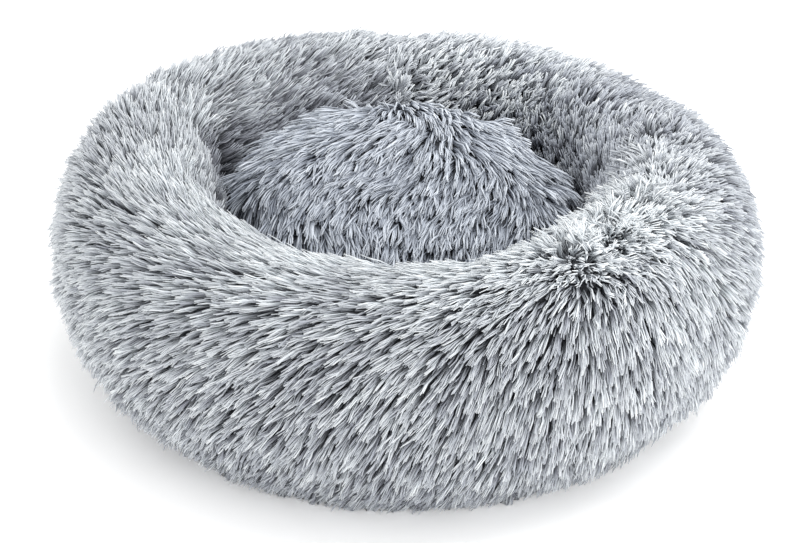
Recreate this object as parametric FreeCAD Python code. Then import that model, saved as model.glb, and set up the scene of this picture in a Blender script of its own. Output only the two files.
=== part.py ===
"""Round shaggy pet cushion bed: a stuffed fur ring on a fabric base, with a loose plump
cushion in its nest and a zip across the raised middle of the underside.

Millimetres, +Z up, origin on the floor under the centre of the ring. -Y is the front.
The soft pieces are plain solids; the long pile is part of the thickness of the fur covers.
"""
import FreeCAD, Part
import math
import os

# ---- driving dimensions ------------------------------------------------------------
BED_RADIUS = 300.0          # to the tips of the pile
BED_HEIGHT = 205.0          # to the tips of the pile
PILE = 24.0                 # thickness of the long pile and its backing cloth
CREST_RADIUS = 228.0        # the highest circle of the ring
THROAT_RADIUS = 150.0       # the narrowest circle of the nest
THROAT_HEIGHT = 70.0
EQUATOR_HEIGHT = 102.0      # the widest circle of the ring
CONTACT_RADIUS = 238.0      # outer edge of the ring's flat underside
SEAM_ANGLES = (-32.0, 92.0) # where the two fur panels of the ring are sewn together

CLOTH = 1.2                 # base cloth
LINER = 1.0                 # non-woven liner bags
BASE_RISE = 8.2             # how far the middle of the base stands off the floor
RISE_OUTER_RADIUS = 186.0
RISE_INNER_RADIUS = 160.0
FLOOR_PANEL_HEIGHT = 12.8   # underside of the cloth that closes the nest

CUSHION_RADIUS = 156.0      # to the tips of the pile, where it spreads over the ring's wall
CUSHION_TOP = 172.0
CUSHION_WIDEST_HEIGHT = 138.0
CUSHION_SEAM_HEIGHT = 104.0
CUSHION_TUCK = 16.0         # how far the pile draws in from its widest down to the seam
CUSHION_GAP = 0.3           # between the cushion and the floor panel
CUSHION_CORE_RADIUS = 129.0
CUSHION_FOOT_RADIUS = 96.0

ZIP_LENGTH = 280.0
ZIP_HEIGHT = 9.7            # mid-height of the teeth
TEETH_REACH = 3.4           # from the zip's centre line to the outside of a row of teeth
TEETH_INSET = 0.6           # from the centre line to the inside of a row
TEETH_THICKNESS = 2.4
STOP_LENGTH = 4.0
TAPE_WIDTH = 12.6
TAPE_THICKNESS = 0.6
SLOT_HALF_WIDTH = 9.0
SLIDER_LENGTH = 10.0
SLIDER_HALF_WIDTH = 4.9
SLIDER_PLATE = 1.0
RUNNING_GAP = 0.3
PULL_LENGTH = 24.0
PULL_WIDTH = 7.0
PULL_THICKNESS = 1.4

CLOTH_TOP = BASE_RISE + CLOTH
SLIDER_REST_X = (ZIP_LENGTH - SLIDER_LENGTH) / 2 - 1.0
POINTS_PER_QUADRANT = 13


# ---- helpers -----------------------------------------------------------------------
def save(name, shape):
    shape.exportStep("parts/" + name + ".step")


def point(radius, height):
    return FreeCAD.Vector(radius, 0, height)


def quadrant(centre, reach, rise, power):
    """Quarter of a superellipse from (centre + reach, level) to (level, centre + rise)."""
    points = []
    for step in range(POINTS_PER_QUADRANT):
        angle = math.pi / 2 * step / (POINTS_PER_QUADRANT - 1)
        across = math.cos(angle) ** (2 / power) if step < POINTS_PER_QUADRANT - 1 else 0.0
        up = math.sin(angle) ** (2 / power)
        points.append(point(centre[0] + reach * across, centre[1] + rise * up))
    curve = Part.BSplineCurve()
    curve.interpolate(points)
    return curve.toShape()


def section(edges):
    """Flat face in the XZ plane inside a closed outline."""
    return Part.Face(Part.Wire(Part.__sortEdges__(edges)))


def turned(flat, start_angle=0.0, sweep=360.0):
    """Solid of revolution of a flat section about the Z axis."""
    face = flat.Faces[0].copy()
    axis = FreeCAD.Vector(0, 0, 1)
    origin = FreeCAD.Vector(0, 0, 0)
    face.rotate(origin, axis, start_angle)
    return face.revolve(origin, axis, sweep)


def lines(*corners):
    return [Part.LineSegment(point(*a), point(*b)).toShape()
            for a, b in zip(corners, corners[1:]) if a != b]


def polygon(*corners):
    return section(lines(*corners, corners[0]))


def block(low, high):
    size = [high[i] - low[i] for i in range(3)]
    return Part.makeBox(*size, FreeCAD.Vector(*low))


def mirrored(shape):
    return shape.mirror(FreeCAD.Vector(0, 0, 0), FreeCAD.Vector(0, 1, 0))


# ---- the ring ----------------------------------------------------------------------
def tube_outline(inset, foot):
    """Outline of the ring's section, set in by inset, with its underside at height foot."""
    outer = quadrant((CONTACT_RADIUS, EQUATOR_HEIGHT), BED_RADIUS - CONTACT_RADIUS - inset,
                     foot - EQUATOR_HEIGHT, 2.1)
    shoulder = quadrant((CREST_RADIUS, EQUATOR_HEIGHT), BED_RADIUS - CREST_RADIUS - inset,
                        BED_HEIGHT - EQUATOR_HEIGHT - inset, 2.3)
    lip = quadrant((CREST_RADIUS, THROAT_HEIGHT), THROAT_RADIUS - CREST_RADIUS + inset,
                   BED_HEIGHT - THROAT_HEIGHT - inset, 2.0)
    heel_radius = RISE_OUTER_RADIUS + inset * 0.4
    heel = quadrant((heel_radius, THROAT_HEIGHT), THROAT_RADIUS + inset - heel_radius,
                    foot - THROAT_HEIGHT, 2.0)
    sole = lines((heel_radius, foot), (CONTACT_RADIUS, foot))
    return [outer, shoulder, lip, heel] + sole


def below_the_base():
    """Section of everything below the upper face of the base cloth."""
    reach = BED_RADIUS + PILE
    return polygon((0, -CLOTH), (reach, -CLOTH), (reach, CLOTH), (RISE_OUTER_RADIUS, CLOTH),
                        (RISE_INNER_RADIUS, CLOTH_TOP), (0, CLOTH_TOP))


def make_ring():
    filling = section(tube_outline(PILE + LINER, CLOTH + LINER))
    bag = section(tube_outline(PILE, CLOTH))
    fur = section(tube_outline(0.0, CLOTH * 0.5)).cut(bag).cut(below_the_base())
    save("ring_filling", turned(filling))
    save("ring_liner", turned(bag.cut(filling)))
    first, second = SEAM_ANGLES
    spans = {"ring_fur_panel_right": (first, second - first),
             "ring_fur_panel_left": (second, 360.0 - second + first)}
    for name, (start, sweep) in spans.items():
        save(name, turned(fur, start, sweep))


# ---- base and nest floor -----------------------------------------------------------
def make_base():
    ring_panel = polygon((RISE_OUTER_RADIUS, 0), (CONTACT_RADIUS, 0), (CONTACT_RADIUS, CLOTH),
                         (RISE_OUTER_RADIUS, CLOTH), (RISE_INNER_RADIUS, CLOTH_TOP),
                         (RISE_INNER_RADIUS, BASE_RISE))
    save("base_ring_panel", turned(ring_panel))
    middle = Part.makeCylinder(RISE_INNER_RADIUS, CLOTH, FreeCAD.Vector(0, 0, BASE_RISE))
    slot = block((-ZIP_LENGTH / 2 - STOP_LENGTH, -SLOT_HALF_WIDTH, 0),
                 (ZIP_LENGTH / 2 + STOP_LENGTH, SLOT_HALF_WIDTH, CLOTH_TOP + 1))
    middle = middle.cut(slot)
    reach = BED_RADIUS
    front_half = block((-reach, -reach, 0), (reach, 0, BED_HEIGHT))
    save("base_middle_front", middle.common(front_half))
    save("base_middle_rear", middle.cut(front_half))
    low, high = FLOOR_PANEL_HEIGHT, FLOOR_PANEL_HEIGHT + CLOTH
    disc = polygon((0, low), (RISE_OUTER_RADIUS - 1, low), (RISE_OUTER_RADIUS - 1, high), (0, high))
    floor = disc.cut(section(tube_outline(0.0, CLOTH * 0.5)))
    inner = min(floor.Faces, key=lambda face: face.CenterOfMass.x)
    save("nest_floor_panel", turned(inner))


def make_care_label():
    save("care_label", block((96, 24, BASE_RISE - 0.5), (121, 58, BASE_RISE)))


# ---- cushion -----------------------------------------------------------------------
def cushion_core(radius, top, bottom):
    """Section of the stuffed body, inside the pile."""
    crown = quadrant((0, CUSHION_SEAM_HEIGHT), radius, top - CUSHION_SEAM_HEIGHT, 3.6)
    side = quadrant((CUSHION_FOOT_RADIUS, CUSHION_SEAM_HEIGHT), radius - CUSHION_FOOT_RADIUS,
                    bottom - CUSHION_SEAM_HEIGHT, 2.3)
    return section([side, crown] + lines((0, top), (0, bottom), (CUSHION_FOOT_RADIUS, bottom)))


def make_cushion():
    foot = FLOOR_PANEL_HEIGHT + CLOTH + CUSHION_GAP
    core_top = CUSHION_TOP - PILE
    bag = cushion_core(CUSHION_CORE_RADIUS - CLOTH, core_top, foot + CLOTH)
    filling = cushion_core(CUSHION_CORE_RADIUS - CLOTH - LINER, core_top - LINER,
                           foot + CLOTH + LINER)
    sewn = cushion_core(CUSHION_CORE_RADIUS, core_top, foot)
    below = polygon((0, 0), (BED_RADIUS, 0), (BED_RADIUS, CUSHION_SEAM_HEIGHT),
                    (0, CUSHION_SEAM_HEIGHT))
    tuck_radius = CUSHION_RADIUS - CUSHION_TUCK
    crown = section([quadrant((tuck_radius, CUSHION_WIDEST_HEIGHT), CUSHION_TUCK,
                              CUSHION_SEAM_HEIGHT - CUSHION_WIDEST_HEIGHT, 2.0),
                     quadrant((0, CUSHION_WIDEST_HEIGHT), CUSHION_RADIUS,
                              CUSHION_TOP - CUSHION_WIDEST_HEIGHT, 2.6)]
                    + lines((0, CUSHION_TOP), (0, CUSHION_SEAM_HEIGHT),
                            (tuck_radius, CUSHION_SEAM_HEIGHT)))
    save("cushion_filling", turned(filling))
    save("cushion_liner", turned(bag.cut(filling)))
    save("cushion_base_cover", turned(sewn.common(below).cut(bag)))
    save("cushion_fur_cover", turned(crown.cut(bag)))


# ---- zip ---------------------------------------------------------------------------
def make_zip():
    half = ZIP_LENGTH / 2
    tape = block((-half - 6, -TEETH_REACH - TAPE_WIDTH, CLOTH_TOP),
                 (half + 6, -TEETH_REACH, CLOTH_TOP + TAPE_THICKNESS))
    low, high = ZIP_HEIGHT - TEETH_THICKNESS / 2, ZIP_HEIGHT + TEETH_THICKNESS / 2
    teeth = block((-half, -TEETH_REACH, low), (half, -TEETH_INSET, high))
    long_edges = [edge for edge in teeth.Edges
                  if edge.Length > half and edge.CenterOfMass.y > -TEETH_INSET - 0.1]
    teeth = teeth.makeFillet(0.8, long_edges)
    stop = block((half, -TEETH_REACH, low), (half + STOP_LENGTH, -TEETH_INSET, high))
    save("zip_tape_front", tape)
    save("zip_tape_rear", mirrored(tape))
    save("zip_teeth_front", teeth)
    save("zip_teeth_rear", mirrored(teeth))
    save("zip_top_stops", Part.makeCompound([stop, mirrored(stop)]))
    save("zip_bottom_stop", block((-half - STOP_LENGTH, -TEETH_REACH, low),
                                  (-half, TEETH_REACH, high)))


def make_slider():
    """Two plates joined by a thin web, with flanges round the teeth and a bail below."""
    x_low, x_high = SLIDER_REST_X - SLIDER_LENGTH / 2, SLIDER_REST_X + SLIDER_LENGTH / 2
    teeth_low = ZIP_HEIGHT - TEETH_THICKNESS / 2 - RUNNING_GAP
    teeth_high = ZIP_HEIGHT + TEETH_THICKNESS / 2 + RUNNING_GAP
    low, high = teeth_low - SLIDER_PLATE, teeth_high + SLIDER_PLATE
    body = block((x_low, -SLIDER_HALF_WIDTH, low), (x_high, SLIDER_HALF_WIDTH, high))
    channel = block((x_low, -TEETH_REACH - RUNNING_GAP, teeth_low),
                    (x_high, TEETH_REACH + RUNNING_GAP, teeth_high))
    tape_slot = block((x_low, -SLIDER_HALF_WIDTH, CLOTH_TOP - RUNNING_GAP),
                      (x_high, SLIDER_HALF_WIDTH, CLOTH_TOP + TAPE_THICKNESS + RUNNING_GAP))
    web_half = TEETH_INSET - RUNNING_GAP
    web = block((x_high - 4.0, -web_half, teeth_low), (x_high, web_half, teeth_high))
    body = body.cut(channel).cut(tape_slot).fuse(web)
    bail_bottom = low - 3.2
    bail = block((SLIDER_REST_X - 4, -0.8, bail_bottom), (SLIDER_REST_X + 4, 0.8, low))
    eye = block((SLIDER_REST_X - 2.6, -0.8, bail_bottom + 1.2), (SLIDER_REST_X + 2.6, 0.8, low))
    save("zip_slider", body.fuse(bail.cut(eye)).removeSplitter())


def pull_axis_height():
    return ZIP_HEIGHT - TEETH_THICKNESS / 2 - RUNNING_GAP - SLIDER_PLATE - 1.0


def make_pull():
    """A flat tab that lies under the slider; its cross bar turns inside the bail."""
    height = pull_axis_height()
    x, half = SLIDER_REST_X, PULL_WIDTH / 2
    low, high = height - PULL_THICKNESS / 2, height + PULL_THICKNESS / 2
    tab = block((x - PULL_LENGTH, -half, low), (x, half, high))
    window = block((x - 8.0, -1.3, low), (x, 1.3, high))
    ends = [edge for edge in tab.Edges
            if abs(edge.Length - PULL_THICKNESS) < 0.01 and edge.CenterOfMass.x < x - 1]
    tab = tab.makeFillet(2.0, ends).cut(window)
    turn = FreeCAD.Vector(0, 1, 0)
    bar = Part.makeCylinder(0.6, PULL_WIDTH, FreeCAD.Vector(x, -half, height), turn)
    bosses = Part.makeCylinder(PULL_THICKNESS / 2, PULL_WIDTH,
                               FreeCAD.Vector(x, -half, height), turn)
    bosses = bosses.cut(block((x - 2, -1.3, low), (x + 2, 1.3, high)))
    save("zip_pull", tab.fuse(bosses).fuse(bar).removeSplitter())


os.makedirs("parts", exist_ok=True)
make_ring()
make_base()
make_care_label()
make_cushion()
make_zip()
make_slider()
make_pull()
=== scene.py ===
"""Looks of the round shaggy pet bed: a stuffed fur ring, a loose fur cushion in its nest,
and the cloth base with its zip. Metres, in the frame of the CAD model, -Y to the front."""
import math

import bpy
import numpy as np
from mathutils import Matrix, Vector


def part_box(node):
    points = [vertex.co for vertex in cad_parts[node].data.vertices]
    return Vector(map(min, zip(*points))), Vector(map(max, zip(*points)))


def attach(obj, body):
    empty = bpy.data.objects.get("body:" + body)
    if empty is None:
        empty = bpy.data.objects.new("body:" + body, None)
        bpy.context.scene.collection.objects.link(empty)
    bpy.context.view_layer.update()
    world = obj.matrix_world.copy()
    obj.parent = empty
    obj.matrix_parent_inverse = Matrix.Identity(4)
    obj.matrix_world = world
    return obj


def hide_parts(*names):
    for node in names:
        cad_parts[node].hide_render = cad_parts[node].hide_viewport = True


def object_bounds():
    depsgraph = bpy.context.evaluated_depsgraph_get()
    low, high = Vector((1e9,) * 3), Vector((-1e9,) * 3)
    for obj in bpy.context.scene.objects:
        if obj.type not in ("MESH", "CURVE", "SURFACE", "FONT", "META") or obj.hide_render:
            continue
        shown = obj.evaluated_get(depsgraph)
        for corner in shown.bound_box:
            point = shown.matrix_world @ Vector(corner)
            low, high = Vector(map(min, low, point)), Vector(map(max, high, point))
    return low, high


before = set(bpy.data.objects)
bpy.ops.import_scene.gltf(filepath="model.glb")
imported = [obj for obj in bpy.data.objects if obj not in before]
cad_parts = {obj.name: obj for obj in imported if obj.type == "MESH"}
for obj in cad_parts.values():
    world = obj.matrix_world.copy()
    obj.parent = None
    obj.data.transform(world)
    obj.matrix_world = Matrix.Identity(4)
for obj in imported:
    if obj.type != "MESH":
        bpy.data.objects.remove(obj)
CAD_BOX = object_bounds()
MM = 0.001
random_source = np.random.default_rng(11)

# ---- driving dimensions, as in the CAD model ----
RING_RADIUS = CAD_BOX[1][0]
RING_HEIGHT = CAD_BOX[1][2]
CREST_RADIUS = 228 * MM
THROAT_RADIUS = 150 * MM
THROAT_HEIGHT = 70 * MM
EQUATOR_HEIGHT = 102 * MM
CONTACT_RADIUS = 238 * MM                  # outer edge of the flat sole
HEEL_RADIUS = 188 * MM                     # where the nest's wall meets its floor
CLOTH = 1.2 * MM
SEAM_ANGLES = (-32.0, 92.0)                # right front and back

CUSHION_LOW, CUSHION_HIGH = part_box("cushion_fur_cover")
CUSHION_RADIUS = CUSHION_HIGH[0]
CUSHION_TOP = CUSHION_HIGH[2]
CUSHION_SEAM = CUSHION_LOW[2]
CUSHION_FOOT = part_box("cushion_base_cover")[0][2]
CUSHION_CORE_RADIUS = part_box("cushion_base_cover")[1][0]

PILE_LENGTH = 35 * MM                      # on the ring

# ---- camera ----
VIEW_ELEVATION = math.radians(29.5)
VIEW_DISTANCE = 1.8
VIEW_TARGET = Vector((-6 * MM, -8 * MM, 84 * MM))


def set_camera():
    data = bpy.data.cameras.new("camera")
    data.lens = 94.0
    data.clip_end = 20.0
    camera = bpy.data.objects.new("camera", data)
    away = Vector((0, -math.cos(VIEW_ELEVATION), math.sin(VIEW_ELEVATION)))
    camera.location = VIEW_TARGET + away * VIEW_DISTANCE
    camera.rotation_euler = (-away).to_track_quat("-Z", "Y").to_euler()
    bpy.context.scene.collection.objects.link(camera)
    bpy.context.scene.camera = camera


# ---- small helpers ----
def smoothstep(low, high, value):
    """0 at low, 1 at high; low may be above high."""
    t = np.clip((value - low) / (high - low), 0.0, 1.0)
    return t * t * (3 - 2 * t)


def unit(vectors):
    return vectors / np.maximum(np.linalg.norm(vectors, axis=-1, keepdims=True), 1e-12)


def wave(angle, *terms):
    """Sum of slow waves round the bed; each term is (count, size, phase in degrees)."""
    return sum(size * np.cos(count * (angle - math.radians(phase)))
               for count, size, phase in terms)


def bump_at(angle, centre, width):
    """1 at an azimuth, falling to 0 over width, both in degrees."""
    off = (angle - math.radians(centre) + math.pi) % (2 * math.pi) - math.pi
    return np.exp(-(off / math.radians(width)) ** 2)


def add_bumps(value, angle, *terms):
    """Value with bumps round the bed; each term is (size, azimuth, width)."""
    for size, centre, width in terms:
        value = value + size * bump_at(angle, centre, width)
    return value


def grid_normals(points, closed_rows):
    """Outward normals and the two unit tangents of a (columns, rows, 3) grid."""
    along = unit(np.roll(points, -1, 0) - np.roll(points, 1, 0))
    if closed_rows:
        up = unit(np.roll(points, -1, 1) - np.roll(points, 1, 1))
    else:
        up = unit(np.gradient(points, axis=1))
    return unit(np.cross(up, along)), along, up


def grid_faces(columns, rows, closed_rows):
    i, j = np.meshgrid(np.arange(columns), np.arange(rows if closed_rows else rows - 1),
                       indexing="ij")
    after, above = (i + 1) % columns, (j + 1) % rows
    return np.stack([i * rows + j, i * rows + above, after * rows + above, after * rows + j],
                    -1).reshape(-1, 4)


def mesh_object(name, vertices, loops, sizes, uv=None):
    """Object from flat arrays: vertex positions, loop vertices and corners per face."""
    mesh = bpy.data.meshes.new(name)
    mesh.vertices.add(len(vertices))
    mesh.vertices.foreach_set("co", np.ascontiguousarray(vertices, np.float32).ravel())
    mesh.loops.add(len(loops))
    mesh.loops.foreach_set("vertex_index", np.ascontiguousarray(loops, np.int32))
    mesh.polygons.add(len(sizes))
    starts = np.concatenate([[0], np.cumsum(sizes)[:-1]]).astype(np.int32)
    mesh.polygons.foreach_set("loop_start", starts)
    mesh.update(calc_edges=True)
    mesh.polygons.foreach_set("use_smooth", np.ones(len(sizes), bool))
    if uv is not None:
        layer = mesh.uv_layers.new(name="OFBake")
        layer.uv.foreach_set("vector", np.ascontiguousarray(uv, np.float32).ravel())
    piece = bpy.data.objects.new(name, mesh)
    bpy.context.scene.collection.objects.link(piece)
    return piece


def grid_object(name, points, closed_rows):
    columns, rows = points.shape[:2]
    faces = grid_faces(columns, rows, closed_rows)
    return mesh_object(name, points.reshape(-1, 3), faces.ravel(), np.full(len(faces), 4))


def mesh_points(piece, shape):
    flat = np.empty(len(piece.data.vertices) * 3, np.float32)
    piece.data.vertices.foreach_get("co", flat)
    return flat.reshape(*shape, 3).astype(float)


CLOTH_STEPS = 16
CLOTH_PRESSURE = 2.0
CLOTH_MOVE = 5 * MM                        # the furthest that a point may move


def inflate(piece, held):
    """Cloth simulation with inside pressure, applied to the mesh; held is a weight for each
    vertex, from 0, free, to 1, fixed."""
    before = np.array([v.co[:] for v in piece.data.vertices])
    group = piece.vertex_groups.new(name="held")
    for index in np.flatnonzero(held > 0):
        group.add([int(index)], float(held[index]), "REPLACE")
    cloth = piece.modifiers.new("cloth", "CLOTH")
    settings = cloth.settings
    settings.quality = 6
    settings.mass = 0.4
    settings.tension_stiffness = settings.compression_stiffness = 12.0
    settings.bending_stiffness = 0.6
    settings.use_pressure = True
    settings.uniform_pressure_force = CLOTH_PRESSURE
    settings.vertex_group_mass = "held"
    settings.effector_weights.gravity = 0.0
    cloth.collision_settings.use_collision = False
    scene = bpy.context.scene
    for step in range(1, CLOTH_STEPS + 1):
        scene.frame_set(step)
    final = piece.evaluated_get(bpy.context.evaluated_depsgraph_get()).to_mesh()
    after = np.array([v.co[:] for v in final.vertices])
    piece.modifiers.remove(cloth)
    scene.frame_set(1)
    move = after - before
    distance = np.maximum(np.linalg.norm(move, axis=1, keepdims=True), 1e-9)
    after = before + move * np.minimum(1.0, CLOTH_MOVE / distance)
    piece.data.vertices.foreach_set("co", after.astype(np.float32).ravel())
    piece.data.update()


# ---- the ring's shape ----
RING_COLUMNS = 240


def quarter(count, power):
    """Quarter of a superellipse, across and up; the power may differ from column to column."""
    angle = np.linspace(0, math.pi / 2, count + 1)
    return np.clip(np.cos(angle), 0, 1) ** (2 / power), np.sin(angle) ** (2 / power)


def ring_envelope():
    """Tips of the pile as a grid, columns round the bed and rows round the section, with the
    angle of each column and the station of each row. Stations are 0 at the inner foot, 1 on
    the inner wall, 2 lip, 3 crest, 4 shoulder, 5 widest circle and 6 outer foot."""
    angle = np.linspace(0, 2 * math.pi, RING_COLUMNS, endpoint=False)[:, None]
    gather = bump_at(angle, -38, 9) + 0.8 * bump_at(angle, SEAM_ANGLES[1], 8)
    widest = RING_RADIUS - 1 * MM + wave(angle, (3, 1.6 * MM, 40), (5, 1.4 * MM, 10))
    widest = add_bumps(widest, angle, (8 * MM, 145, 28), (3 * MM, 195, 30),
                       (-14 * MM, 32, 27), (6 * MM, -26, 22)) - 3 * MM * gather
    top = RING_HEIGHT + 2 * MM + wave(angle, (2, 2 * MM, 190), (5, 1.2 * MM, 70))
    top = add_bumps(top, angle, (4 * MM, 140, 40), (-6 * MM, 54, 30)) - 5 * MM * gather
    crest = CREST_RADIUS + wave(angle, (1, 4 * MM, 90), (4, 2 * MM, 15))
    crest = add_bumps(crest, angle, (7 * MM, 156, 15), (-20 * MM, 30, 24))
    throat = THROAT_RADIUS + wave(angle, (1, 9 * MM, 95), (3, 3 * MM, 200))
    throat = add_bumps(throat, angle, (5 * MM, -2, 20), (-4 * MM, 30, 18), (3 * MM, 190, 26),
                       (5 * MM, 105, 38), (4 * MM, -95, 30), (-8 * MM, -38, 14),
                       (24 * MM, 156, 13), (10 * MM, 136, 16))
    lip_power = add_bumps(2.1, angle, (0.8, 192, 40), (0.6, -15, 30), (0.8, 30, 26))
    # Arcs of the section: steps, power, order, radius of the middle and of the side, height of
    # the middle and of the end, first and last station.
    arcs = (
        (10, 2.0, -1, HEEL_RADIUS, throat, THROAT_HEIGHT, CLOTH, 0, 0.8),
        (22, lip_power, 1, crest, throat, THROAT_HEIGHT, top, 0.8, 3),
        (20, 2.3, -1, crest, widest, EQUATOR_HEIGHT, top, 3, 5),
        (16, 2.1, 1, CONTACT_RADIUS, widest, EQUATOR_HEIGHT, CLOTH, 5, 6.4),
    )
    sections = []
    for steps, power, order, radius, side, height, end, first, last in arcs:
        across, up = quarter(steps, power)
        sections.append((radius + (side - radius) * across[..., ::order],
                         height + (end - height) * up[..., ::order],
                         np.linspace(first, last, steps + 1)))
    sections.append((np.linspace(CONTACT_RADIUS, HEEL_RADIUS, 8), CLOTH,
                     np.linspace(6.4, 7, 8)))
    radius, height, station = (
        np.concatenate([np.broadcast_to(section[part], (RING_COLUMNS, len(section[2])))[:, :-1]
                        for section in sections], 1) for part in range(3))
    points = np.stack([radius * np.cos(angle), radius * np.sin(angle), height], -1)
    return points, angle, station[0]


# Which way the ring's pile is combed, in degrees from straight over the crest and down the
# outside (0) to clockwise round the bed seen from above (90): azimuth, then the lean on the
# inner wall, the lip, the crest, the shoulder, the widest circle and the outer foot.
COMB_STATIONS = (1, 2, 3, 4, 5, 6)
COMB = (
    (-32, 6, -15, -35, -26, -16, -10),
    (0, 0, -25, -22, -10, -4, 0),
    (30, 14, 10, 20, 12, 4, 0),
    (60, 34, 48, 52, 34, 12, 0),
    (91, 38, 52, 54, 38, 16, 5),
    (93, 38, 52, 54, 40, 20, 14),
    (120, 45, 66, 68, 48, 30, 20),
    (150, 62, 80, 74, 52, 30, 22),
    (180, 80, 90, 74, 48, 30, 22),
    (200, 85, 96, 86, 54, 34, 24),
    (215, 85, 98, 90, 58, 38, 28),
    (235, 80, 95, 88, 58, 38, 28),
    (255, 70, 90, 82, 56, 38, 28),
    (275, 60, 86, 76, 48, 28, 18),
    (295, 60, 84, 72, 34, 12, 8),
    (310, 60, 80, 60, 18, 2, 0),
    (328, 10, 50, 30, 0, -8, -6),
)
# How far the pile stands off the cloth, in degrees, at the same stations.
LIFT_LEFT = (30, 13, 23, 32, 32, 25)
LIFT_RIGHT = (40, 38, 44, 42, 36, 28)
# Lines that the pile leans away from, where it was gathered into the seams: azimuth and
# station of both ends, reach and strength.
PARTINGS = ((-54, 2.92, 4, 2.75, 38 * MM, 0.9), (91, 1.9, 91, 1.9, 26 * MM, 0.45))
STATION_PITCH = 48 * MM                    # between stations, near the crest


def by_azimuth(rows, degrees, station):
    """Two-way interpolation in a table of rows (azimuth, value per station)."""
    table = np.array(rows, float)
    wrapped = (degrees - table[0, 0]) % 360 + table[0, 0]
    place = np.interp(wrapped, table[:, 0], np.arange(len(table)))
    low = np.clip(place.astype(int), 0, len(table) - 2)
    part = place - low
    at = np.interp(station, COMB_STATIONS, np.arange(len(COMB_STATIONS)))
    left = np.clip(at.astype(int), 0, len(COMB_STATIONS) - 2)
    side = at - left

    def row(index):
        return table[index, left + 1] * (1 - side) + table[index, left + 2] * side

    return row(low) * (1 - part) + row(low + 1) * part


def in_right_panel(degrees):
    """1 on the right panel and 0 on the left one, blended at the two seams."""
    onward = (degrees - SEAM_ANGLES[0]) % 360
    return smoothstep(0, 14, onward) * (1 - smoothstep(112, 136, onward))


def ring_lift(degrees, station):
    """How far the pile stands off the cloth, in degrees."""
    left = np.interp(station, COMB_STATIONS, LIFT_LEFT)
    right = np.interp(station, COMB_STATIONS, LIFT_RIGHT)
    share = in_right_panel(degrees)
    return left * (1 - share) + right * share


TIP_HEIGHT = 0.86                          # of a straight fibre's, because the pile bends over
FOOT_TUCK = 17 * MM                        # how far the ring is drawn in above the floor


def make_ring_shape():
    """The sewn skin of the ring, under the pile, its points and the stations of its rows."""
    tips, turn, station = ring_envelope()
    normal = grid_normals(tips, True)[0]
    lift = ring_lift(np.degrees(turn), station)
    height = PILE_LENGTH * TIP_HEIGHT * np.sin(np.radians(lift))
    height = height * (1 - smoothstep(5.8, 6.4, station)) * smoothstep(-0.1, 0.7, station)
    skin = tips - normal * height[..., None]
    low = smoothstep(4.8, 6.1, station) * (1 - smoothstep(6.4, 7.0, station))
    spread = np.hypot(skin[..., 0], skin[..., 1])
    skin[..., :2] *= (1 - FOOT_TUCK * low / spread)[..., None]
    skin[..., 2] = np.maximum(skin[..., 2], CLOTH + 0.4 * MM)
    piece = grid_object("ring_skin", skin, True)
    held = np.where((station < 0.3) | (station > 6.3), 1.0, 0.0) + 0 * turn
    for seam in SEAM_ANGLES:
        held = np.maximum(held, bump_at(turn, seam, 2.2) * (station < 6.3))
    inflate(piece, held.ravel())
    return piece, mesh_points(piece, skin.shape[:2]), station


# ---- the cushion's shape ----
CUSHION_COLUMNS = 120
CUSHION_OVER = 9 * MM                      # how far the pile's tips stand over the CAD cover
CUSHION_PILE_HEIGHT = 11 * MM
CUSHION_FOOT_RADIUS = 96 * MM
SOLE_ROWS = 13


def cushion_envelope():
    """Three grids, rows from the top down: tips of the pile on top, to the seam, then the side
    and the sole of the plain cloth below."""
    angle = np.linspace(0, 2 * math.pi, CUSHION_COLUMNS, endpoint=False)[:, None]
    across, up = quarter(20, 2.5 + 1.6 * bump_at(angle, 148, 30))
    reach = CUSHION_RADIUS + CUSHION_OVER + wave(angle, (3, 2 * MM, 200), (5, 2 * MM, 60))
    reach = add_bumps(reach, angle, (24 * MM, 98, 34), (-4 * MM, 139, 15),
                      (-15 * MM, 26, 34), (18 * MM, 165, 16))
    widest = add_bumps(CUSHION_SEAM + 36 * MM, angle, (24 * MM, 98, 46))
    top = CUSHION_TOP + CUSHION_OVER - widest
    tuck = np.linspace(0.12, 1, 6)         # from the widest circle down and in to the seam
    radius = [np.concatenate([reach * across[:, ::-1],
                              reach + (CUSHION_CORE_RADIUS + 17 * MM - reach) * tuck ** 1.5], 1)]
    height = [np.concatenate([widest + top * up[:, ::-1],
                              widest + (CUSHION_SEAM - widest) * tuck], 1)]
    across, up = quarter(16, 2.3)
    edge = CUSHION_CORE_RADIUS - 2 * MM + wave(angle, (7, 1.2 * MM, 20), (11, 1 * MM, 50))
    radius.append(CUSHION_FOOT_RADIUS + (edge - CUSHION_FOOT_RADIUS) * across)
    height.append(CUSHION_SEAM - (CUSHION_SEAM - CUSHION_FOOT) * up + 0 * edge)
    sole = np.linspace(CUSHION_FOOT_RADIUS, 1 * MM, SOLE_ROWS + 1)[None, 1:]
    radius.append(sole + 0 * angle)
    height.append(CUSHION_FOOT + 0 * sole + 0 * angle)
    return [np.stack([r * np.cos(angle), r * np.sin(angle), h], -1)
            for r, h in zip(radius, height)]


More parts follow.
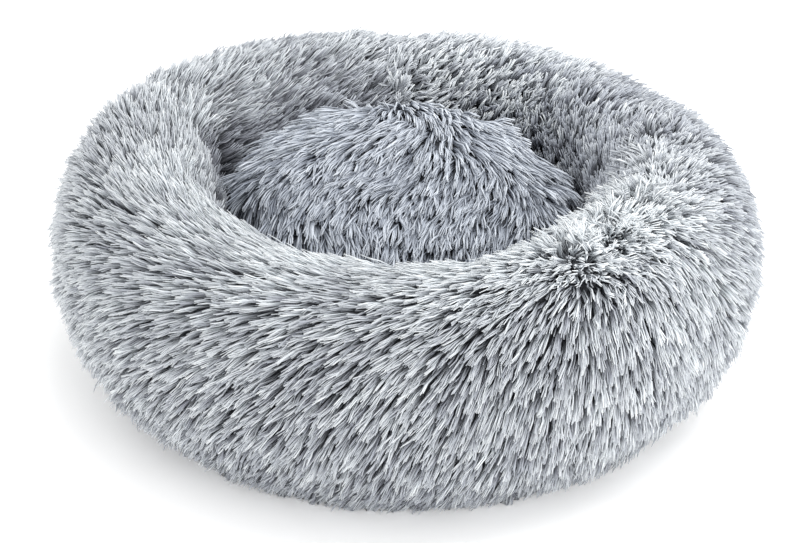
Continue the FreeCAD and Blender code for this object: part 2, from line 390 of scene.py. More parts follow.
def make_cushion_shape():
    """The cushion's skin, its points, and how many rows from the top down carry pile."""
    crown, side, sole = cushion_envelope()
    crown[:, 0, :2] = crown[:, 1, :2] * 0.06
    normal = grid_normals(crown, False)[0]
    normal[:, 0] = (0, 0, 1)
    x, y = crown[..., 0], crown[..., 1]
    dome = wave(np.arctan2(y, x), (1, 9 * MM, 112), (2, 2 * MM, 30))
    crown[..., 2] += dome * smoothstep(0, 0.08, np.hypot(x, y)) * (
        1 - smoothstep(0.15, 0.18, np.hypot(x, y)))
    skin = crown - normal * CUSHION_PILE_HEIGHT
    edge = np.hypot(side[:, :1, 0], side[:, :1, 1])
    spread = np.hypot(skin[..., 0], skin[..., 1])
    skin[..., :2] *= np.minimum(1.0, edge / np.maximum(spread, 1e-6))[..., None]
    skin[:, -1] = side[:, 0]
    whole = np.concatenate([skin, side[:, 1:], sole], 1)
    piece = grid_object("cushion_skin", whole, False)
    pile_rows = skin.shape[1]
    held = np.zeros(whole.shape[:2])
    held[:, pile_rows - 1] = 0.8
    held[:, -SOLE_ROWS - 1:] = 1.0
    held[:, :1] = 0.3
    inflate(piece, held.ravel())
    return piece, mesh_points(piece, whole.shape[:2]), pile_rows


# ---- pile ----
# A strand has three sides and four levels: their places along it, its width there and how far
# it swings to the side.
LEVELS = np.array([0.0, 0.40, 0.75, 1.0])
TAPER = np.array([0.85, 1.0, 1.0, 0.62])
SWING = np.array([-0.5, -0.5, 1.0, -0.9])
CORNERS = np.radians([90, 210, 330])
STRAND_POINTS = len(LEVELS) * len(CORNERS)
CORNER_REACH = 0.55                        # from a strand's middle to its corners, of its width
ROOT_DEPTH = 1.5 * MM
CLUMPING = 0.85                            # how far the strands of a lock meet at its tip


def grow(root, normal, comb, lift, bend, curl, length, tone, strands, width, spread):
    """Locks of closed three-sided strands as (vertices, tone). Every lock starts at a root,
    rises by lift off the cloth, leans over in the direction comb, changes its rise by bend
    along its length and swings from side to side by curl."""
    curl, width, spread = (np.broadcast_to(value, len(root)) for value in (curl, width, spread))
    side = unit(np.cross(normal, comb))
    number = len(root) * strands
    swing = np.repeat(random_source.normal(0, 1, (len(root), 2)) * curl[:, None], strands, 0)
    swing = swing + random_source.normal(0, 0.05, swing.shape)
    pick = np.repeat(np.arange(len(root)), strands)
    root, normal, side, comb = root[pick], normal[pick], side[pick], comb[pick]
    lift = lift[pick] + random_source.normal(0, 0.06, number)
    bend = bend[pick] + random_source.normal(0, 0.10, number)
    length = length[pick] * random_source.uniform(0.92, 1.0, number)
    place = random_source.normal(0, 1, (number, 2)) * spread[pick][:, None]
    sway = random_source.normal(0, 0.03, number) - place[:, 0] / length * CLUMPING
    width = width[pick] * random_source.uniform(0.75, 1.25, number)
    turn = random_source.uniform(0, 2 * math.pi / 3, number)
    here = root + side * place[:, :1] + comb * place[:, 1:] - normal * ROOT_DEPTH
    vertices = np.empty((number, STRAND_POINTS, 3))
    for level in range(4):
        middle = LEVELS[level] if level == 0 else (LEVELS[level] + LEVELS[level - 1]) / 2
        rise = lift + bend * (middle - 0.35) + swing[:, 0] * SWING[level] * 0.6
        aside = sway + swing[:, 1] * SWING[level]
        ahead = unit(comb * np.cos(rise)[:, None] + normal * np.sin(rise)[:, None]
                     + side * aside[:, None])
        if level:
            here = here + ahead * (length * (LEVELS[level] - LEVELS[level - 1]))[:, None]
        over = unit(np.cross(ahead, side))
        across = np.cross(over, ahead)
        reach = (width * TAPER[level] * CORNER_REACH)[:, None]
        for corner, angle in enumerate(CORNERS):
            out = over * np.cos(angle + turn)[:, None] + across * np.sin(angle + turn)[:, None]
            vertices[:, level * 3 + corner] = here + out * reach
    tone = np.clip(tone[pick] + random_source.normal(0, 0.13, number), 0.02, 0.98)
    return vertices, tone


def strand_loops():
    """Corners of a strand's nine sides and its tip, and the corners per face."""
    loops, sizes = [], []
    for level in range(3):
        for corner in range(3):
            after = (corner + 1) % 3
            low, high = level * 3, level * 3 + 3
            loops += [low + corner, low + after, high + after, high + corner]
            sizes.append(4)
    return np.array(loops + [9, 10, 11]), np.array(sizes + [3])


STRAND_LOOPS, STRAND_SIZES = strand_loops()
STRAND_ALONG = LEVELS[STRAND_LOOPS // 3]


def section_curvature(points, normals):
    """How fast the surface turns along its rows, in radians per metre."""
    step = np.roll(points, -1, 1) - np.roll(points, 1, 1)
    turn = np.roll(normals, -1, 1) - np.roll(normals, 1, 1)
    size = np.maximum((step * step).sum(-1), 1e-8)
    return np.clip((turn * step).sum(-1) / size, 0, 16)


def sample_grid(points, normals, along, up, cells, density):
    """Random places on a grid, more where cells are larger or density higher: the points, the
    three directions there, and the column and row."""
    columns, rows = density.shape
    weight = (cells * density).ravel()
    total = int(weight.sum())
    index = np.searchsorted(np.cumsum(weight), np.arange(total) + random_source.random(total))
    index = np.minimum(index, len(weight) - 1)
    i, j = index // rows, index % rows
    s, t = random_source.random(total)[:, None], random_source.random(total)[:, None]
    after, above = (i + 1) % columns, (j + 1) % points.shape[1]

    def mix(values):
        return (values[i, j] * (1 - s) * (1 - t) + values[after, j] * s * (1 - t)
                + values[i, above] * (1 - s) * t + values[after, above] * s * t)

    return (mix(points), unit(mix(normals)), unit(mix(along)), unit(mix(up)),
            i + s[:, 0], j + t[:, 0])


def cell_areas(points, closed_rows):
    """Area of each cell of a grid that is closed round its columns."""
    after = np.roll(points, -1, 0)
    above = np.roll(points, -1, 1)
    both = np.roll(after, -1, 1)
    area = np.linalg.norm(np.cross(both - points, above - after), axis=-1) / 2
    return area if closed_rows else area[:, :-1]


def slow_noise(points, scale, seed):
    """Smooth noise in -1..1 from a few random plane waves."""
    source = np.random.default_rng(seed)
    total = np.zeros(len(points))
    for _ in range(9):
        direction = unit(source.normal(size=3)) * source.uniform(0.6, 1.5) / scale
        total += np.sin(points @ direction * 2 * math.pi + source.uniform(0, 2 * math.pi))
    return np.clip(total / 4.5, -1, 1)


PIECE_STRANDS = 10400                      # at most, with 19 triangles each
# Each coat of pile: long locks of several strands over a short dark undercoat of single ones.
RING_LOCKS = dict(per_m2=46000, length=PILE_LENGTH, strands=4, width=1.1 * MM,
                  spread=0.75 * MM, tone_shift=0.08)
RING_UNDERCOAT = dict(per_m2=46000, length=PILE_LENGTH * 0.62, strands=1, width=1.5 * MM,
                      spread=0, tone_shift=-0.34)
CUSHION_LOCKS = dict(per_m2=27000, length=42 * MM, strands=5, width=1.4 * MM,
                     spread=0.7 * MM, tone_shift=0.08)
CUSHION_UNDERCOAT = dict(per_m2=46000, length=27 * MM, strands=1, width=1.5 * MM,
                         spread=0, tone_shift=-0.36)
# Share of the ring's locks at its stations, none of them on the sole.
DENSITY_STATIONS = (0.02, 0.1, 1.0, 2.0, 3.0, 4.6, 5.4, 6.3, 6.4)
DENSITY = (0, 0.7, 0.8, 1.2, 1.0, 1.0, 0.8, 0.8, 0)
LEAST_LIFT, MOST_LIFT = 0.15, 1.4
FLOOR_GAP = 0.6 * MM                       # between the ring's pile and the floor


def pile_pieces(name, vertices, tone, order, body, material):
    """Strands as pieces of limited size, in the given order. Their UV map holds each strand's
    tone and the place along it."""
    pieces = int(np.ceil(len(order) / PIECE_STRANDS))
    for number, mine in enumerate(np.array_split(np.argsort(order), pieces)):
        loops = (np.arange(len(mine))[:, None] * STRAND_POINTS + STRAND_LOOPS[None]).ravel()
        uv = np.empty((len(mine), len(STRAND_LOOPS), 2))
        uv[..., 0] = tone[mine, None]
        uv[..., 1] = STRAND_ALONG * 0.96 + 0.02
        piece = mesh_object(f"{name}_{number + 1:02d}", vertices[mine].reshape(-1, 3), loops,
                            np.tile(STRAND_SIZES, len(mine)), uv.reshape(-1, 2))
        piece.data.materials.append(material)
        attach(piece, body)


def from_parting(parting, degrees, station, radius):
    """Offsets of places on the ring from the nearest point of a parting, round and up."""
    start, low, end, high = parting[:4]
    sideways = np.radians((degrees - start + 180) % 360 - 180) * radius
    onward = (station - low) * STATION_PITCH
    run, climb = math.radians(end - start) * radius, (high - low) * STATION_PITCH
    part = np.clip((sideways * run + onward * climb) / (run ** 2 + climb ** 2 + 1e-9), 0, 1)
    return sideways - run * part, onward - climb * part


def comb_partings(root, along, up, degrees, station, comb, lift):
    """Turn the pile away from its partings; it stands up and is ruffled close to them."""
    mess = np.zeros(len(root))
    radius = np.hypot(root[:, 0], root[:, 1])
    for parting in PARTINGS:
        reach, strength = parting[4:]
        sideways, onward = from_parting(parting, degrees, station, radius)
        sideways = sideways + 0.3 * reach * slow_noise(root, 0.032, 13)
        onward = onward + 0.3 * reach * slow_noise(root, 0.032, 14)
        distance = np.hypot(sideways, onward)
        share = strength * np.exp(-(distance / reach) ** 2)
        away = unit(along * sideways[:, None] + up * onward[:, None])
        comb = comb * (1 - share)[:, None] + away * share[:, None]
        lift = lift + 0.7 * strength * np.exp(-(distance / (reach * 0.5)) ** 2)
        mess = np.maximum(mess, strength * np.exp(-(distance / (reach * 0.7)) ** 2))
    return comb, lift, mess


def parting_density(station):
    """Where the pile leans apart it is denser at the root, on the skin's grid."""
    degrees = np.arange(RING_COLUMNS)[:, None] / RING_COLUMNS * 360
    total = np.zeros((RING_COLUMNS, len(station)))
    for parting in PARTINGS:
        reach, strength = parting[4:]
        distance = np.hypot(*from_parting(parting, degrees, station[None], CREST_RADIUS))
        total = np.maximum(total, strength * np.exp(-(distance / (reach * 0.8)) ** 2))
    return total


# Painted shade and painted light on regions of the ring, darker where it lies in shade and paler
# where light
# falls: how much, the stations between which the change comes in, its azimuth and its width.
PAINTED_LIGHT_REGIONS = (
    (-0.07, 4.8, 3.8, 180, 36),
    (-0.46, 5.0, 4.0, 16, 36),
    (-0.45, 2.1, 1.4, 150, 32),
    (-0.10, 3.0, 2.1, 48, 22),
    (-0.09, 4.2, 2.6, 118, 40),
    (0.13, 4.2, 2.6, 70, 26),
    (0.16, 3.6, 5.0, 190, 30),
    (-0.08, 3.2, 4.4, 255, 50),
    (-0.22, 4.9, 5.7, 270, 70),
)


def painted_light_tone(degrees, station):
    """Painted light and shade on the pile: palest where it lies flat along the lip, a painted
    highlight from above, and darkest low on the inner wall, painted shade deep in the nest.
    """
    angle = np.radians(degrees)
    left = bump_at(angle, 180, 36)
    # painted highlight along the top of the lip, less on the left
    lip = np.exp(-((station - 2.45) / 0.7) ** 2) * (1 - in_right_panel(degrees))
    tone = 0.34 * lip * (1 - bump_at(angle, 118, 40)) * (1 - 0.35 * left)
    # painted shade low on the inner wall, deep in the nest
    wall = add_bumps(2.2, angle, (-0.5, 192, 26), (-0.7, 22, 24), (-0.45, 72, 18))
    tone = tone - 0.5 * smoothstep(wall, wall - 0.7, station)
    # painted shade on the outer side below the shoulder, except on the left
    tone = tone - 0.05 * smoothstep(3.8, 4.6, station) * (1 - left)
    # painted shade and painted light by region
    for size, start, full, azimuth, width in PAINTED_LIGHT_REGIONS:
        tone = tone + size * smoothstep(start, full, station) * bump_at(angle, azimuth, width)
    return tone


def ring_coat(skin, stations, per_m2, length, strands, width, spread, tone_shift):
    """One coat of the ring's pile as (vertices, tone, degrees past the right-front seam)."""
    normal, along, up = grid_normals(skin, True)
    curvature = section_curvature(skin, normal)
    density = np.interp(stations, DENSITY_STATIONS, DENSITY)
    density = density * per_m2 * (1 + 1.1 * parting_density(stations))
    root, normal, along, up, column, row = sample_grid(
        skin, normal, along, up, cell_areas(skin, True), density)
    turning = curvature[column.astype(int) % RING_COLUMNS, row.astype(int) % skin.shape[1]]
    degrees = column / RING_COLUMNS * 360
    angle = np.radians(degrees)
    station = np.interp(row, np.arange(len(stations)), stations)
    # regions with a habit of their own: fine and even at the left and on the front's lip, pale
    # on the left shoulder, tufted on the inner wall at the right, and strong low down
    fine = np.maximum(bump_at(angle, 180, 45),
                      np.exp(-((station - 2.3) / 0.6) ** 2) * (1 - in_right_panel(degrees)))
    pale = 0.4 * smoothstep(3.2, 4.2, station) * bump_at(angle, 182, 42)
    tuft = smoothstep(3.2, 2.0, station) * bump_at(angle, 58, 42)
    low = smoothstep(4.5, 5.5, station)

    lean = np.radians(by_azimuth(COMB, degrees, station))
    lean = lean + np.radians(9) * slow_noise(root, 0.045, 3)
    lean = lean + random_source.normal(0, 0.12, len(root))
    comb = up * np.cos(lean)[:, None] - along * np.sin(lean)[:, None]
    lift = np.radians(ring_lift(degrees, station)) + 0.10 * slow_noise(root, 0.03, 5)
    comb, lift, mess = comb_partings(root, along, up, degrees, station, comb, lift)
    comb = comb + random_source.normal(0, 1, comb.shape) * (0.55 * mess)[:, None]
    comb = unit(comb - normal * (comb * normal).sum(-1, keepdims=True))
    lift = np.clip(lift + 0.15 * tuft, LEAST_LIFT, MOST_LIFT)
    length = length * (1 + 0.10 * slow_noise(root, 0.05, 8)) * (1 - 0.22 * mess)
    length = length * random_source.uniform(0.82, 1.08, len(root))
    bend = -0.38 - turning * length * np.cos(lean) ** 2
    curl = 0.12 * (1 - 0.6 * fine) + 0.38 * mess + 0.12 * bump_at(angle, 90, 60) + 0.14 * tuft

    tone = 0.5 + 0.14 * slow_noise(root, 0.06, 9) + 0.08 * slow_noise(root, 0.018, 10)
    # painted light and painted shade by region
    tone = tone + painted_light_tone(degrees, station) + 0.3 * mess + 0.1 * pale
    tone = tone + random_source.normal(0, 0.19, len(root)) * (1 - 0.45 * fine + 0.4 * low)
    tone = tone + tone_shift * (1 - 0.5 * mess - pale)
    tone = tone + 0.8 * tuft * slow_noise(root, 0.012, 12)
    vertices, tone = grow(root, normal, comb, lift, bend, curl, length, tone, strands,
                          width * (1 - 0.15 * fine + 0.25 * tuft),
                          spread * (1 + 0.6 * fine - 0.4 * tuft - 0.3 * low))
    vertices[..., 2] = np.maximum(vertices[..., 2], FLOOR_GAP)
    return vertices, tone, np.repeat((degrees - SEAM_ANGLES[0]) % 360, strands)


def make_ring_pile(skin, stations, material):
    coats = (ring_coat(skin, stations, **RING_LOCKS), ring_coat(skin, stations, **RING_UNDERCOAT))
    vertices, tone, owner = (np.concatenate(part) for part in zip(*coats))
    split = SEAM_ANGLES[1] - SEAM_ANGLES[0]
    for panel, mine in (("right", owner < split), ("left", owner >= split)):
        pile_pieces(f"ring_pile_{panel}", vertices[mine], tone[mine], owner[mine], "bed",
                    material)


# Which way the cushion's pile leans: places on its top, right and back from the middle in
# millimetres, and the lean there, in degrees from the front towards the left. The pile comes
# over the back edge, and falls to the left, the front and the right.
CUSHION_COMB = (
    (-30, 150, 36), (-10, 178, 20), (-70, 140, 80), (-130, 90, 118), (-155, 15, 90),
    (-120, 30, 48), (-50, 80, 65), (-95, -45, 3), (-65, -5, 16), (-70, -100, -4),
    (-130, -45, 5), (-100, -5, 22), (-110, -90, -5),
    (0, 62, 36), (-20, 10, 28), (20, -45, 17), (70, -45, 14), (40, -100, 12),
    (95, -80, 14), (75, -8, 12), (120, -45, -10), (15, 110, -22), (65, 50, -42),
    (110, 15, -45), (135, -15, -40), (60, 110, -50), (120, 60, -55), (30, 160, -20),
)
COMB_SOFTNESS = 16 * MM                    # how far the table's places blend


def cushion_comb(x, y):
    """Plan direction of the cushion's pile, blended from the table's nearest places."""
    total = np.zeros((len(x), 3))
    for across, back, lean in CUSHION_COMB:
        distance = np.hypot(x - across * MM, y - back * MM)
        turn = math.radians(lean)
        pointing = np.array([-math.sin(turn), -math.cos(turn), 0])
        total += pointing / ((distance ** 2 + COMB_SOFTNESS ** 2) ** 1.5)[:, None]
    return unit(total)


def cushion_coat(points, pile_rows, per_m2, length, strands, width, spread, tone_shift):
    """One coat of the cushion's pile as (vertices, tone, column of the grid)."""
    normal, along, up = grid_normals(points, False)
    normal[:, 0] = (0, 0, 1)
    curvature = section_curvature(points, normal)
    area = cell_areas(points, False)[:, :pile_rows + 2]
    density = np.full(area.shape, float(per_m2))
    root, normal, along, up, column, row = sample_grid(points, normal, along, up, area, density)
    turning = curvature[column.astype(int) % CUSHION_COLUMNS, row.astype(int)]
    x, y, level = root[:, 0], root[:, 1], normal[:, 2]
    comb = cushion_comb(x, y)
    radial = unit(root * (1, 1, 0))
    rim = smoothstep(0.13, 0.17, np.hypot(x, y))[:, None]
    comb = comb * (1 - 0.2 * rim) + radial * 0.2 * rim
    # Where the pile comes over the edge it is pressed short, lower down it hangs, and between
    # the two it parts.
    over = smoothstep(0.0, -0.5, (comb * radial).sum(-1))
    hanging = over * smoothstep(0.5, 0.2, level)
    parted = over * np.exp(-((level - 0.38) / 0.22) ** 2)
    pressed = over * smoothstep(0.92, 0.6, level) * (1 - hanging)
    comb = comb + random_source.normal(0, 0.12, comb.shape)
    comb = comb * (1 - 0.85 * hanging)[:, None]
    comb = comb + random_source.normal(0, 0.5, comb.shape) * parted[:, None]
    comb[:, 2] -= 0.9 * (smoothstep(0.85, 0.3, level) * (1 - over) + hanging)
    comb = unit(comb - normal * (comb * normal).sum(-1, keepdims=True))
    twist = np.radians(16) * slow_noise(root, 0.05, 21)
    comb = comb * np.cos(twist)[:, None] + np.cross(normal, comb) * np.sin(twist)[:, None]
    lift = (0.26 + 0.10 * slow_noise(root, 0.03, 22)) * (1 - 0.8 * pressed) + 0.7 * parted
    length = length * random_source.uniform(0.82, 1.08, len(root)) * (1 - 0.45 * pressed)
    bend = -0.55 - over * turning * length * (comb * up).sum(-1) ** 2
    # painted light: paler at the back from the middle to the right, where light falls; painted
    # shade: darker at the left
    tone = 0.5 + 0.16 * slow_noise(root, 0.03, 23) + random_source.normal(0, 0.19, len(root))
    tone = tone + 0.38 * smoothstep(0.0, 0.12, y) * smoothstep(-0.16, -0.06, x)
    tone = tone - 0.30 * smoothstep(-0.07, -0.15, x)
    vertices, tone = grow(root, normal, comb, lift, bend, 0.09, length, tone + tone_shift,
                          strands, width, spread)
    vertices[..., 2] = np.maximum(vertices[..., 2], CUSHION_FOOT)
    return vertices, tone, np.repeat(column, strands)


def make_cushion_pile(points, pile_rows, material):
    coats = (cushion_coat(points, pile_rows, **CUSHION_LOCKS),
             cushion_coat(points, pile_rows, **CUSHION_UNDERCOAT))
    vertices, tone, owner = (np.concatenate(part) for part in zip(*coats))
    pile_pieces("cushion_pile", vertices, tone, owner, "cushion", material)


# ---- cloth of the base and the nest floor ----
RISE_OUTER_RADIUS = 186 * MM
RISE_INNER_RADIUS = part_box("base_middle_front")[1][0]
BASE_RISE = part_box("base_middle_front")[0][2]
TAPE_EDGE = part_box("zip_tape_rear")[1][1]
SLOT_HALF_WIDTH = 9 * MM
SLOT_HALF_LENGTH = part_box("zip_teeth_front")[1][0] + 4 * MM
DOT_HEIGHT = 0.4 * MM
DOT_RADIUS = 1.7 * MM
DOT_SPACING = 9.5 * MM
DOT_ROWS = 0.866                           # their pitch, as a share of the spacing
DOT_SIDES = 10


def base_height(radius):
    """Underside of the base cloth: flat on the floor, rising to a flat middle."""
    return DOT_HEIGHT + BASE_RISE * smoothstep(RISE_OUTER_RADIUS, RISE_INNER_RADIUS, radius)


def thin_solid(name, under, thickness, closed_columns):
    """Closed thin cloth over a (columns, rows, 3) grid of its underside."""
    over = under + np.array([0, 0, thickness])
    rows = under.shape[1]
    ring = np.concatenate([under, over[:, ::-1]], 1)
    columns = len(ring)
    i, j = np.meshgrid(np.arange(columns if closed_columns else columns - 1),
                       np.arange(2 * rows), indexing="ij")
    after, above = (i + 1) % columns, (j + 1) % (2 * rows)
    faces = np.stack([i * 2 * rows + j, after * 2 * rows + j, after * 2 * rows + above,
                      i * 2 * rows + above], -1).reshape(-1, 4)
    loops, sizes = faces.ravel(), np.full(len(faces), 4)
    if not closed_columns:
        for column, step in ((0, 1), (columns - 1, -1)):
            low = np.arange(rows - 1)
            end = column * 2 * rows + np.stack(
                [low, low + 1, 2 * rows - 2 - low, 2 * rows - 1 - low], -1)[:, ::step]
            loops = np.concatenate([loops, end.ravel()])
            sizes = np.concatenate([sizes, np.full(len(end), 4)])
    return mesh_object(name, ring.reshape(-1, 3), loops, sizes)


def make_base_cloth(material):
    """The cloth under the ring, and the two halves of the middle beside the zip."""
    angle = np.linspace(0, 2 * math.pi, 360, endpoint=False)[:, None]
    radius = np.linspace(CONTACT_RADIUS, RISE_INNER_RADIUS, 26)[None]
    puckers = wave(angle, (96, 0.30 * MM, 0), (61, 0.25 * MM, 20), (17, 0.3 * MM, 50))
    slope = smoothstep(RISE_OUTER_RADIUS + 8 * MM, RISE_OUTER_RADIUS - 8 * MM, radius) * (
        smoothstep(RISE_INNER_RADIUS, RISE_INNER_RADIUS + 8 * MM, radius))
    height = base_height(radius) + slope * (puckers + 0.8 * MM)
    under = np.stack([radius * np.cos(angle), radius * np.sin(angle), height + 0 * angle], -1)
    ring = thin_solid("base_ring_cloth", under[::-1], CLOTH - DOT_HEIGHT, True)
    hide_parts("base_ring_panel")
    pieces = [ring]
    for side, name in ((-1, "front"), (1, "rear")):
        x = RISE_INNER_RADIUS * np.sin(np.linspace(-1.52, 1.52, 90))[:, None]
        near = np.where(np.abs(x) < SLOT_HALF_LENGTH, SLOT_HALF_WIDTH, 0.05 * MM)
        far = np.sqrt(RISE_INNER_RADIUS ** 2 - x ** 2)
        share = np.linspace(0, 1, 24)[None] ** 1.3
        y = near + (np.maximum(far, near + 0.1 * MM) - near) * share
        hem = 0.35 * MM * np.exp(-((y - SLOT_HALF_WIDTH - 3 * MM) / (1.5 * MM)) ** 2)
        slack = 0.35 * MM * np.sin(x * 60 + y * 35) * smoothstep(0, 0.05, y - near)
        under = np.stack([x + 0 * y, side * y, DOT_HEIGHT + BASE_RISE - hem + slack], -1)
        half = thin_solid(f"base_middle_{name}_cloth", under[::-side], CLOTH - DOT_HEIGHT, False)
        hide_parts(f"base_middle_{name}")
        pieces.append(half)
    for piece in pieces:
        piece.data.materials.append(material)
        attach(piece, "bed")


def make_grip_dots(material):
    """Small rubbery domes printed on the underside of the base."""
    steps = np.arange(-26, 27)
    x, y = np.meshgrid(steps * DOT_SPACING, steps * DOT_SPACING * DOT_ROWS)
    x = x + (steps % 2)[:, None] * DOT_SPACING / 2
    radius = np.hypot(x, y)
    clear = (radius < CONTACT_RADIUS - 6 * MM) & (np.abs(y) > TAPE_EDGE)
    clear &= (radius < RISE_INNER_RADIUS - 5 * MM) | (radius > RISE_OUTER_RADIUS + 5 * MM)
    centres = np.stack([x[clear], y[clear], base_height(radius[clear])], -1)
    step = np.arange(DOT_SIDES)
    turn = step / DOT_SIDES * 2 * math.pi
    circle = np.stack([np.cos(turn), np.sin(turn), 0 * turn], -1) * DOT_RADIUS
    lift = np.array([0, 0, DOT_HEIGHT])
    dome = np.concatenate([circle + lift * 0.2, circle * 0.72 - lift * 0.75, [-lift]])
    low, after = step + DOT_SIDES, (step + 1) % DOT_SIDES
    quads = np.stack([step, low, after + DOT_SIDES, after], -1).ravel()
    tips = np.stack([low, 0 * step + 2 * DOT_SIDES, after + DOT_SIDES], -1).ravel()
    faces = np.concatenate([quads, tips, step])
    loops = (np.arange(len(centres))[:, None] * len(dome) + faces).ravel()
    sizes = np.tile([4] * DOT_SIDES + [3] * DOT_SIDES + [DOT_SIDES], len(centres))
    dots = mesh_object("grip_dots", (centres[:, None] + dome[None]).reshape(-1, 3), loops, sizes)
    dots.data.materials.append(material)
    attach(dots, "bed")


def make_nest_floor(material):
    low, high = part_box("nest_floor_panel")
    edge = high[0]
    angle = np.linspace(0, 2 * math.pi, 180, endpoint=False)[:, None]
    radius = np.linspace(edge, 0.5 * MM, 30)[None]
    height = low[2] - 0.25 * MM * (1 + np.sin(9 * angle + radius * 60) * smoothstep(
        0.02, 0.1, radius))
    under = np.stack([radius * np.cos(angle), radius * np.sin(angle), height], -1)
    floor_cloth = thin_solid("nest_floor_cloth", under[::-1], CLOTH, True)
    floor_cloth.data.materials.append(material)
    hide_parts("nest_floor_panel")
    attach(floor_cloth, "bed")


# ---- materials ----
def new_material(name, roughness, specular):
    material = bpy.data.materials.new(name)
    material.use_nodes = True
    shader = material.node_tree.nodes["Principled BSDF"]
    shader.inputs["Roughness"].default_value = roughness
    shader.inputs["Specular IOR Level"].default_value = specular
    return material, material.node_tree, shader


def colour_ramp(tree, factor, stops):
    """Colours at stops of (place, colour) along a factor."""
    node = tree.nodes.new("ShaderNodeValToRGB")
    elements = node.color_ramp.elements
    while len(elements) < len(stops):
        elements.new(0.5)
    for element, (place, colour) in zip(elements, stops):
        element.position = place
        element.color = (*colour, 1)
    tree.links.new(factor, node.inputs["Fac"])
    return node.outputs["Color"]


def noise(tree, scale, detail=2.0):
    node = tree.nodes.new("ShaderNodeTexNoise")
    node.inputs["Scale"].default_value = scale
    node.inputs["Detail"].default_value = detail
    return node.outputs["Fac"]


def mixed(tree, kind, factor, first, second):
    node = tree.nodes.new("ShaderNodeMix")
    node.data_type = "RGBA"
    node.blend_type = kind
    if isinstance(factor, float):
        node.inputs["Factor"].default_value = factor
    else:
        tree.links.new(factor, node.inputs["Factor"])
    tree.links.new(first, node.inputs["A"])
    tree.links.new(second, node.inputs["B"])
    return node.outputs["Result"]


def pile_material(name, dark_stops, light_stops):
    """Root-to-tip colours of a fibre, between a dark and a light tone."""
    material, tree, shader = new_material(name, 0.5, 0.35)
    place = tree.nodes.new("ShaderNodeUVMap")
    place.uv_map = "OFBake"
    split = tree.nodes.new("ShaderNodeSeparateXYZ")
    tree.links.new(place.outputs["UV"], split.inputs["Vector"])
    dark = colour_ramp(tree, split.outputs["Y"], dark_stops)
    light = colour_ramp(tree, split.outputs["Y"], light_stops)
    tree.links.new(mixed(tree, "MIX", split.outputs["X"], dark, light),
                   shader.inputs["Base Color"])
    return material


def thread_waves(tree, pitch):
    """Crossing threads of a plain weave, as one height from 0 to 1."""
    place = tree.nodes.new("ShaderNodeTexCoord")
    heights = []
    for direction in "XY":
        threads = tree.nodes.new("ShaderNodeTexWave")
        threads.bands_direction = direction
        threads.inputs["Scale"].default_value = 2 * math.pi / (20 * pitch)
        threads.inputs["Distortion"].default_value = 0.6
        threads.inputs["Detail"].default_value = 1.0
        tree.links.new(place.outputs["Object"], threads.inputs["Vector"])
        heights.append(threads.outputs["Color"])
    return mixed(tree, "LIGHTEN", 1.0, *heights)


def relief(tree, shader, height, distance, strength):
    node = tree.nodes.new("ShaderNodeBump")
    node.inputs["Strength"].default_value = strength
    node.inputs["Distance"].default_value = distance
    tree.links.new(height, node.inputs["Height"])
    tree.links.new(node.outputs["Normal"], shader.inputs["Normal"])


def weave_material(name, dark, light, pitch, roughness):
    """Plain weave of threads at a pitch, a little worn in places."""
    material, tree, shader = new_material(name, roughness, 0.3)
    height = thread_waves(tree, pitch)
    threads = colour_ramp(tree, height, ((0.15, dark), (0.8, light)))
    shade = colour_ramp(tree, noise(tree, 35.0, 5.0),
                        ((0.3, (0.82, 0.82, 0.82)), (0.7, (1, 1, 1))))
    tree.links.new(mixed(tree, "MULTIPLY", 1.0, threads, shade), shader.inputs["Base Color"])
    relief(tree, shader, height, pitch * 0.3, 0.6)
    return material


def speckled_material(name, dark, light, scale, roughness, specular, depth=0.0):
    """Fine speckles between two tones, with a relief of a depth."""
    material, tree, shader = new_material(name, roughness, specular)
    speckles = noise(tree, scale)
    tree.links.new(colour_ramp(tree, speckles, ((0.3, dark), (0.7, light))),
                   shader.inputs["Base Color"])
    if depth:
        relief(tree, shader, speckles, depth, 0.3)
    return material


def metal_material(name):
    """Plated metal, duller where it is darker."""
    material, tree, shader = new_material(name, 0.32, 0.5)
    shader.inputs["Metallic"].default_value = 1.0
    wear = noise(tree, 260.0, 8.0)
    tree.links.new(colour_ramp(tree, wear, ((0.35, (0.46, 0.46, 0.48)),
                                            (0.65, (0.66, 0.66, 0.68)))),
                   shader.inputs["Base Color"])
    rough = tree.nodes.new("ShaderNodeMapRange")
    rough.inputs["To Min"].default_value = 0.26
    rough.inputs["To Max"].default_value = 0.46
    tree.links.new(wear, rough.inputs["Value"])
    tree.links.new(rough.outputs["Result"], shader.inputs["Roughness"])
    relief(tree, shader, wear, 0.02 * MM, 0.25)
    return material


def finish_nodes(material, *nodes):
    """Give CAD nodes that stay in view their material."""
    for node in nodes:
        for slot in bpy.data.objects[node].material_slots:
            slot.material = material


# ---- build ----
set_camera()
# colours from root to tip, of the darkest and of the palest fibres
ring_fur = pile_material(
    "ring_fur",
    ((0.0, (0.020, 0.021, 0.026)), (0.35, (0.075, 0.08, 0.095)), (0.7, (0.24, 0.25, 0.29)),
     (1.0, (0.505, 0.54, 0.595))),
    ((0.0, (0.05, 0.055, 0.06)), (0.3, (0.24, 0.255, 0.275)), (0.62, (0.605, 0.648, 0.68)),
     (0.85, (0.86, 0.896, 0.918)), (1.0, (0.92, 0.95, 0.963))))
# the cushion's fur is a bluer grey, its tips also darkened as painted shade of the nest
cushion_fur = pile_material(
    "cushion_fur",
    ((0.0, (0.016, 0.018, 0.024)), (0.35, (0.10, 0.112, 0.14)), (0.7, (0.23, 0.255, 0.305)),
     (1.0, (0.36, 0.395, 0.46))),
    ((0.0, (0.04, 0.045, 0.055)), (0.3, (0.22, 0.24, 0.28)), (0.6, (0.48, 0.52, 0.58)),
     (0.85, (0.68, 0.72, 0.78)), (1.0, (0.76, 0.80, 0.85))))
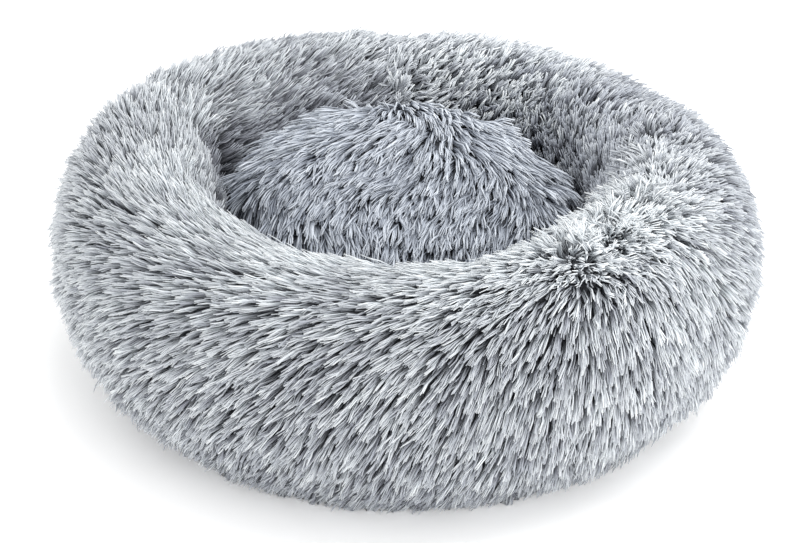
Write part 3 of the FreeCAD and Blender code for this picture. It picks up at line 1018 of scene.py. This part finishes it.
# dark backing under the pile: its cloth, its colour partly painted shade among the roots
root_shade_backing = speckled_material("fur_backing", (0.06, 0.0636, 0.072), (0.10, 0.106, 0.12), 900.0,
                            0.95, 0.1)
lining = weave_material("lining_cloth", (0.33, 0.34, 0.36), (0.56, 0.57, 0.60), 0.55 * MM, 0.8)
oxford = weave_material("oxford_cloth", (0.10, 0.105, 0.115), (0.22, 0.23, 0.245), 0.9 * MM, 0.6)
twill = weave_material("zip_tape_twill", (0.13, 0.135, 0.15), (0.27, 0.28, 0.30), 0.45 * MM, 0.7)
satin = weave_material("label_satin", (0.66, 0.66, 0.65), (0.84, 0.84, 0.83), 0.25 * MM, 0.4)
coil = speckled_material("zip_coil", (0.15, 0.155, 0.17), (0.24, 0.25, 0.27), 600.0, 0.38, 0.5,
                         0.03 * MM)
steel = metal_material("zip_metal")
rubber = speckled_material("grip_rubber", (0.030, 0.031, 0.034), (0.055, 0.057, 0.062), 400.0,
                           0.55, 0.4, 0.05 * MM)

make_base_cloth(oxford)
make_grip_dots(rubber)
make_nest_floor(lining)
finish_nodes(twill, "zip_tape_front", "zip_tape_rear")
finish_nodes(coil, "zip_teeth_front", "zip_teeth_rear")
finish_nodes(steel, "zip_top_stops", "zip_bottom_stop", "zip_slider", "zip_pull")
finish_nodes(satin, "care_label")

ring_piece, ring_skin, ring_stations = make_ring_shape()
ring_piece.data.materials.append(root_shade_backing)
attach(ring_piece, "bed")
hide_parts("ring_fur_panel_left", "ring_fur_panel_right", "ring_liner",
            "ring_filling")
make_ring_pile(ring_skin, ring_stations, ring_fur)

cushion_piece, cushion_points, pile_rows = make_cushion_shape()
cushion_piece.data.materials.append(root_shade_backing)
cushion_piece.data.materials.append(lining)
face_row = np.tile(np.arange(cushion_points.shape[1] - 1), CUSHION_COLUMNS)
cushion_piece.data.polygons.foreach_set("material_index",
                                        (face_row >= pile_rows - 1).astype(np.int32))
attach(cushion_piece, "cushion")
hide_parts("cushion_fur_cover", "cushion_base_cover", "cushion_liner",
            "cushion_filling")
make_cushion_pile(cushion_points, pile_rows, cushion_fur)

# ---- stage and light ----
floor = mesh_object("floor", np.array([[-6.0, -6, 0], [6, -6, 0], [6, 6, 0], [-6, 6, 0]]),
                    np.arange(4), np.array([4]))
floor_material, _, floor_shader = new_material("pale_floor", 0.8, 0.1)
floor_shader.inputs["Base Color"].default_value = (0.97, 0.97, 0.97, 1)
floor_shader.inputs["Emission Color"].default_value = (1, 1, 1, 1)
floor_shader.inputs["Emission Strength"].default_value = 0.18
floor.data.materials.append(floor_material)


def area_light(name, place, target, size, power):
    data = bpy.data.lights.new(name, "AREA")
    data.shape = "DISK"
    data.size = size
    data.energy = power
    light = bpy.data.objects.new(name, data)
    light.location = place
    light.rotation_euler = (Vector(target) - Vector(place)).to_track_quat("-Z", "Y").to_euler()
    bpy.context.scene.collection.objects.link(light)


area_light("key", (0.75, 0.45, 2.2), (0, 0, 0.1), 2.4, 34)
area_light("fill", (1.2, -1.9, 1.2), (0, 0, 0.1), 1.8, 20)
world = bpy.data.worlds.new("studio")
world.use_nodes = True
background = world.node_tree.nodes["Background"]
background.inputs["Color"].default_value = (1, 1, 1, 1)
background.inputs["Strength"].default_value = 1.12
bpy.context.scene.world = world
bpy.context.scene.view_settings.view_transform = "Standard"
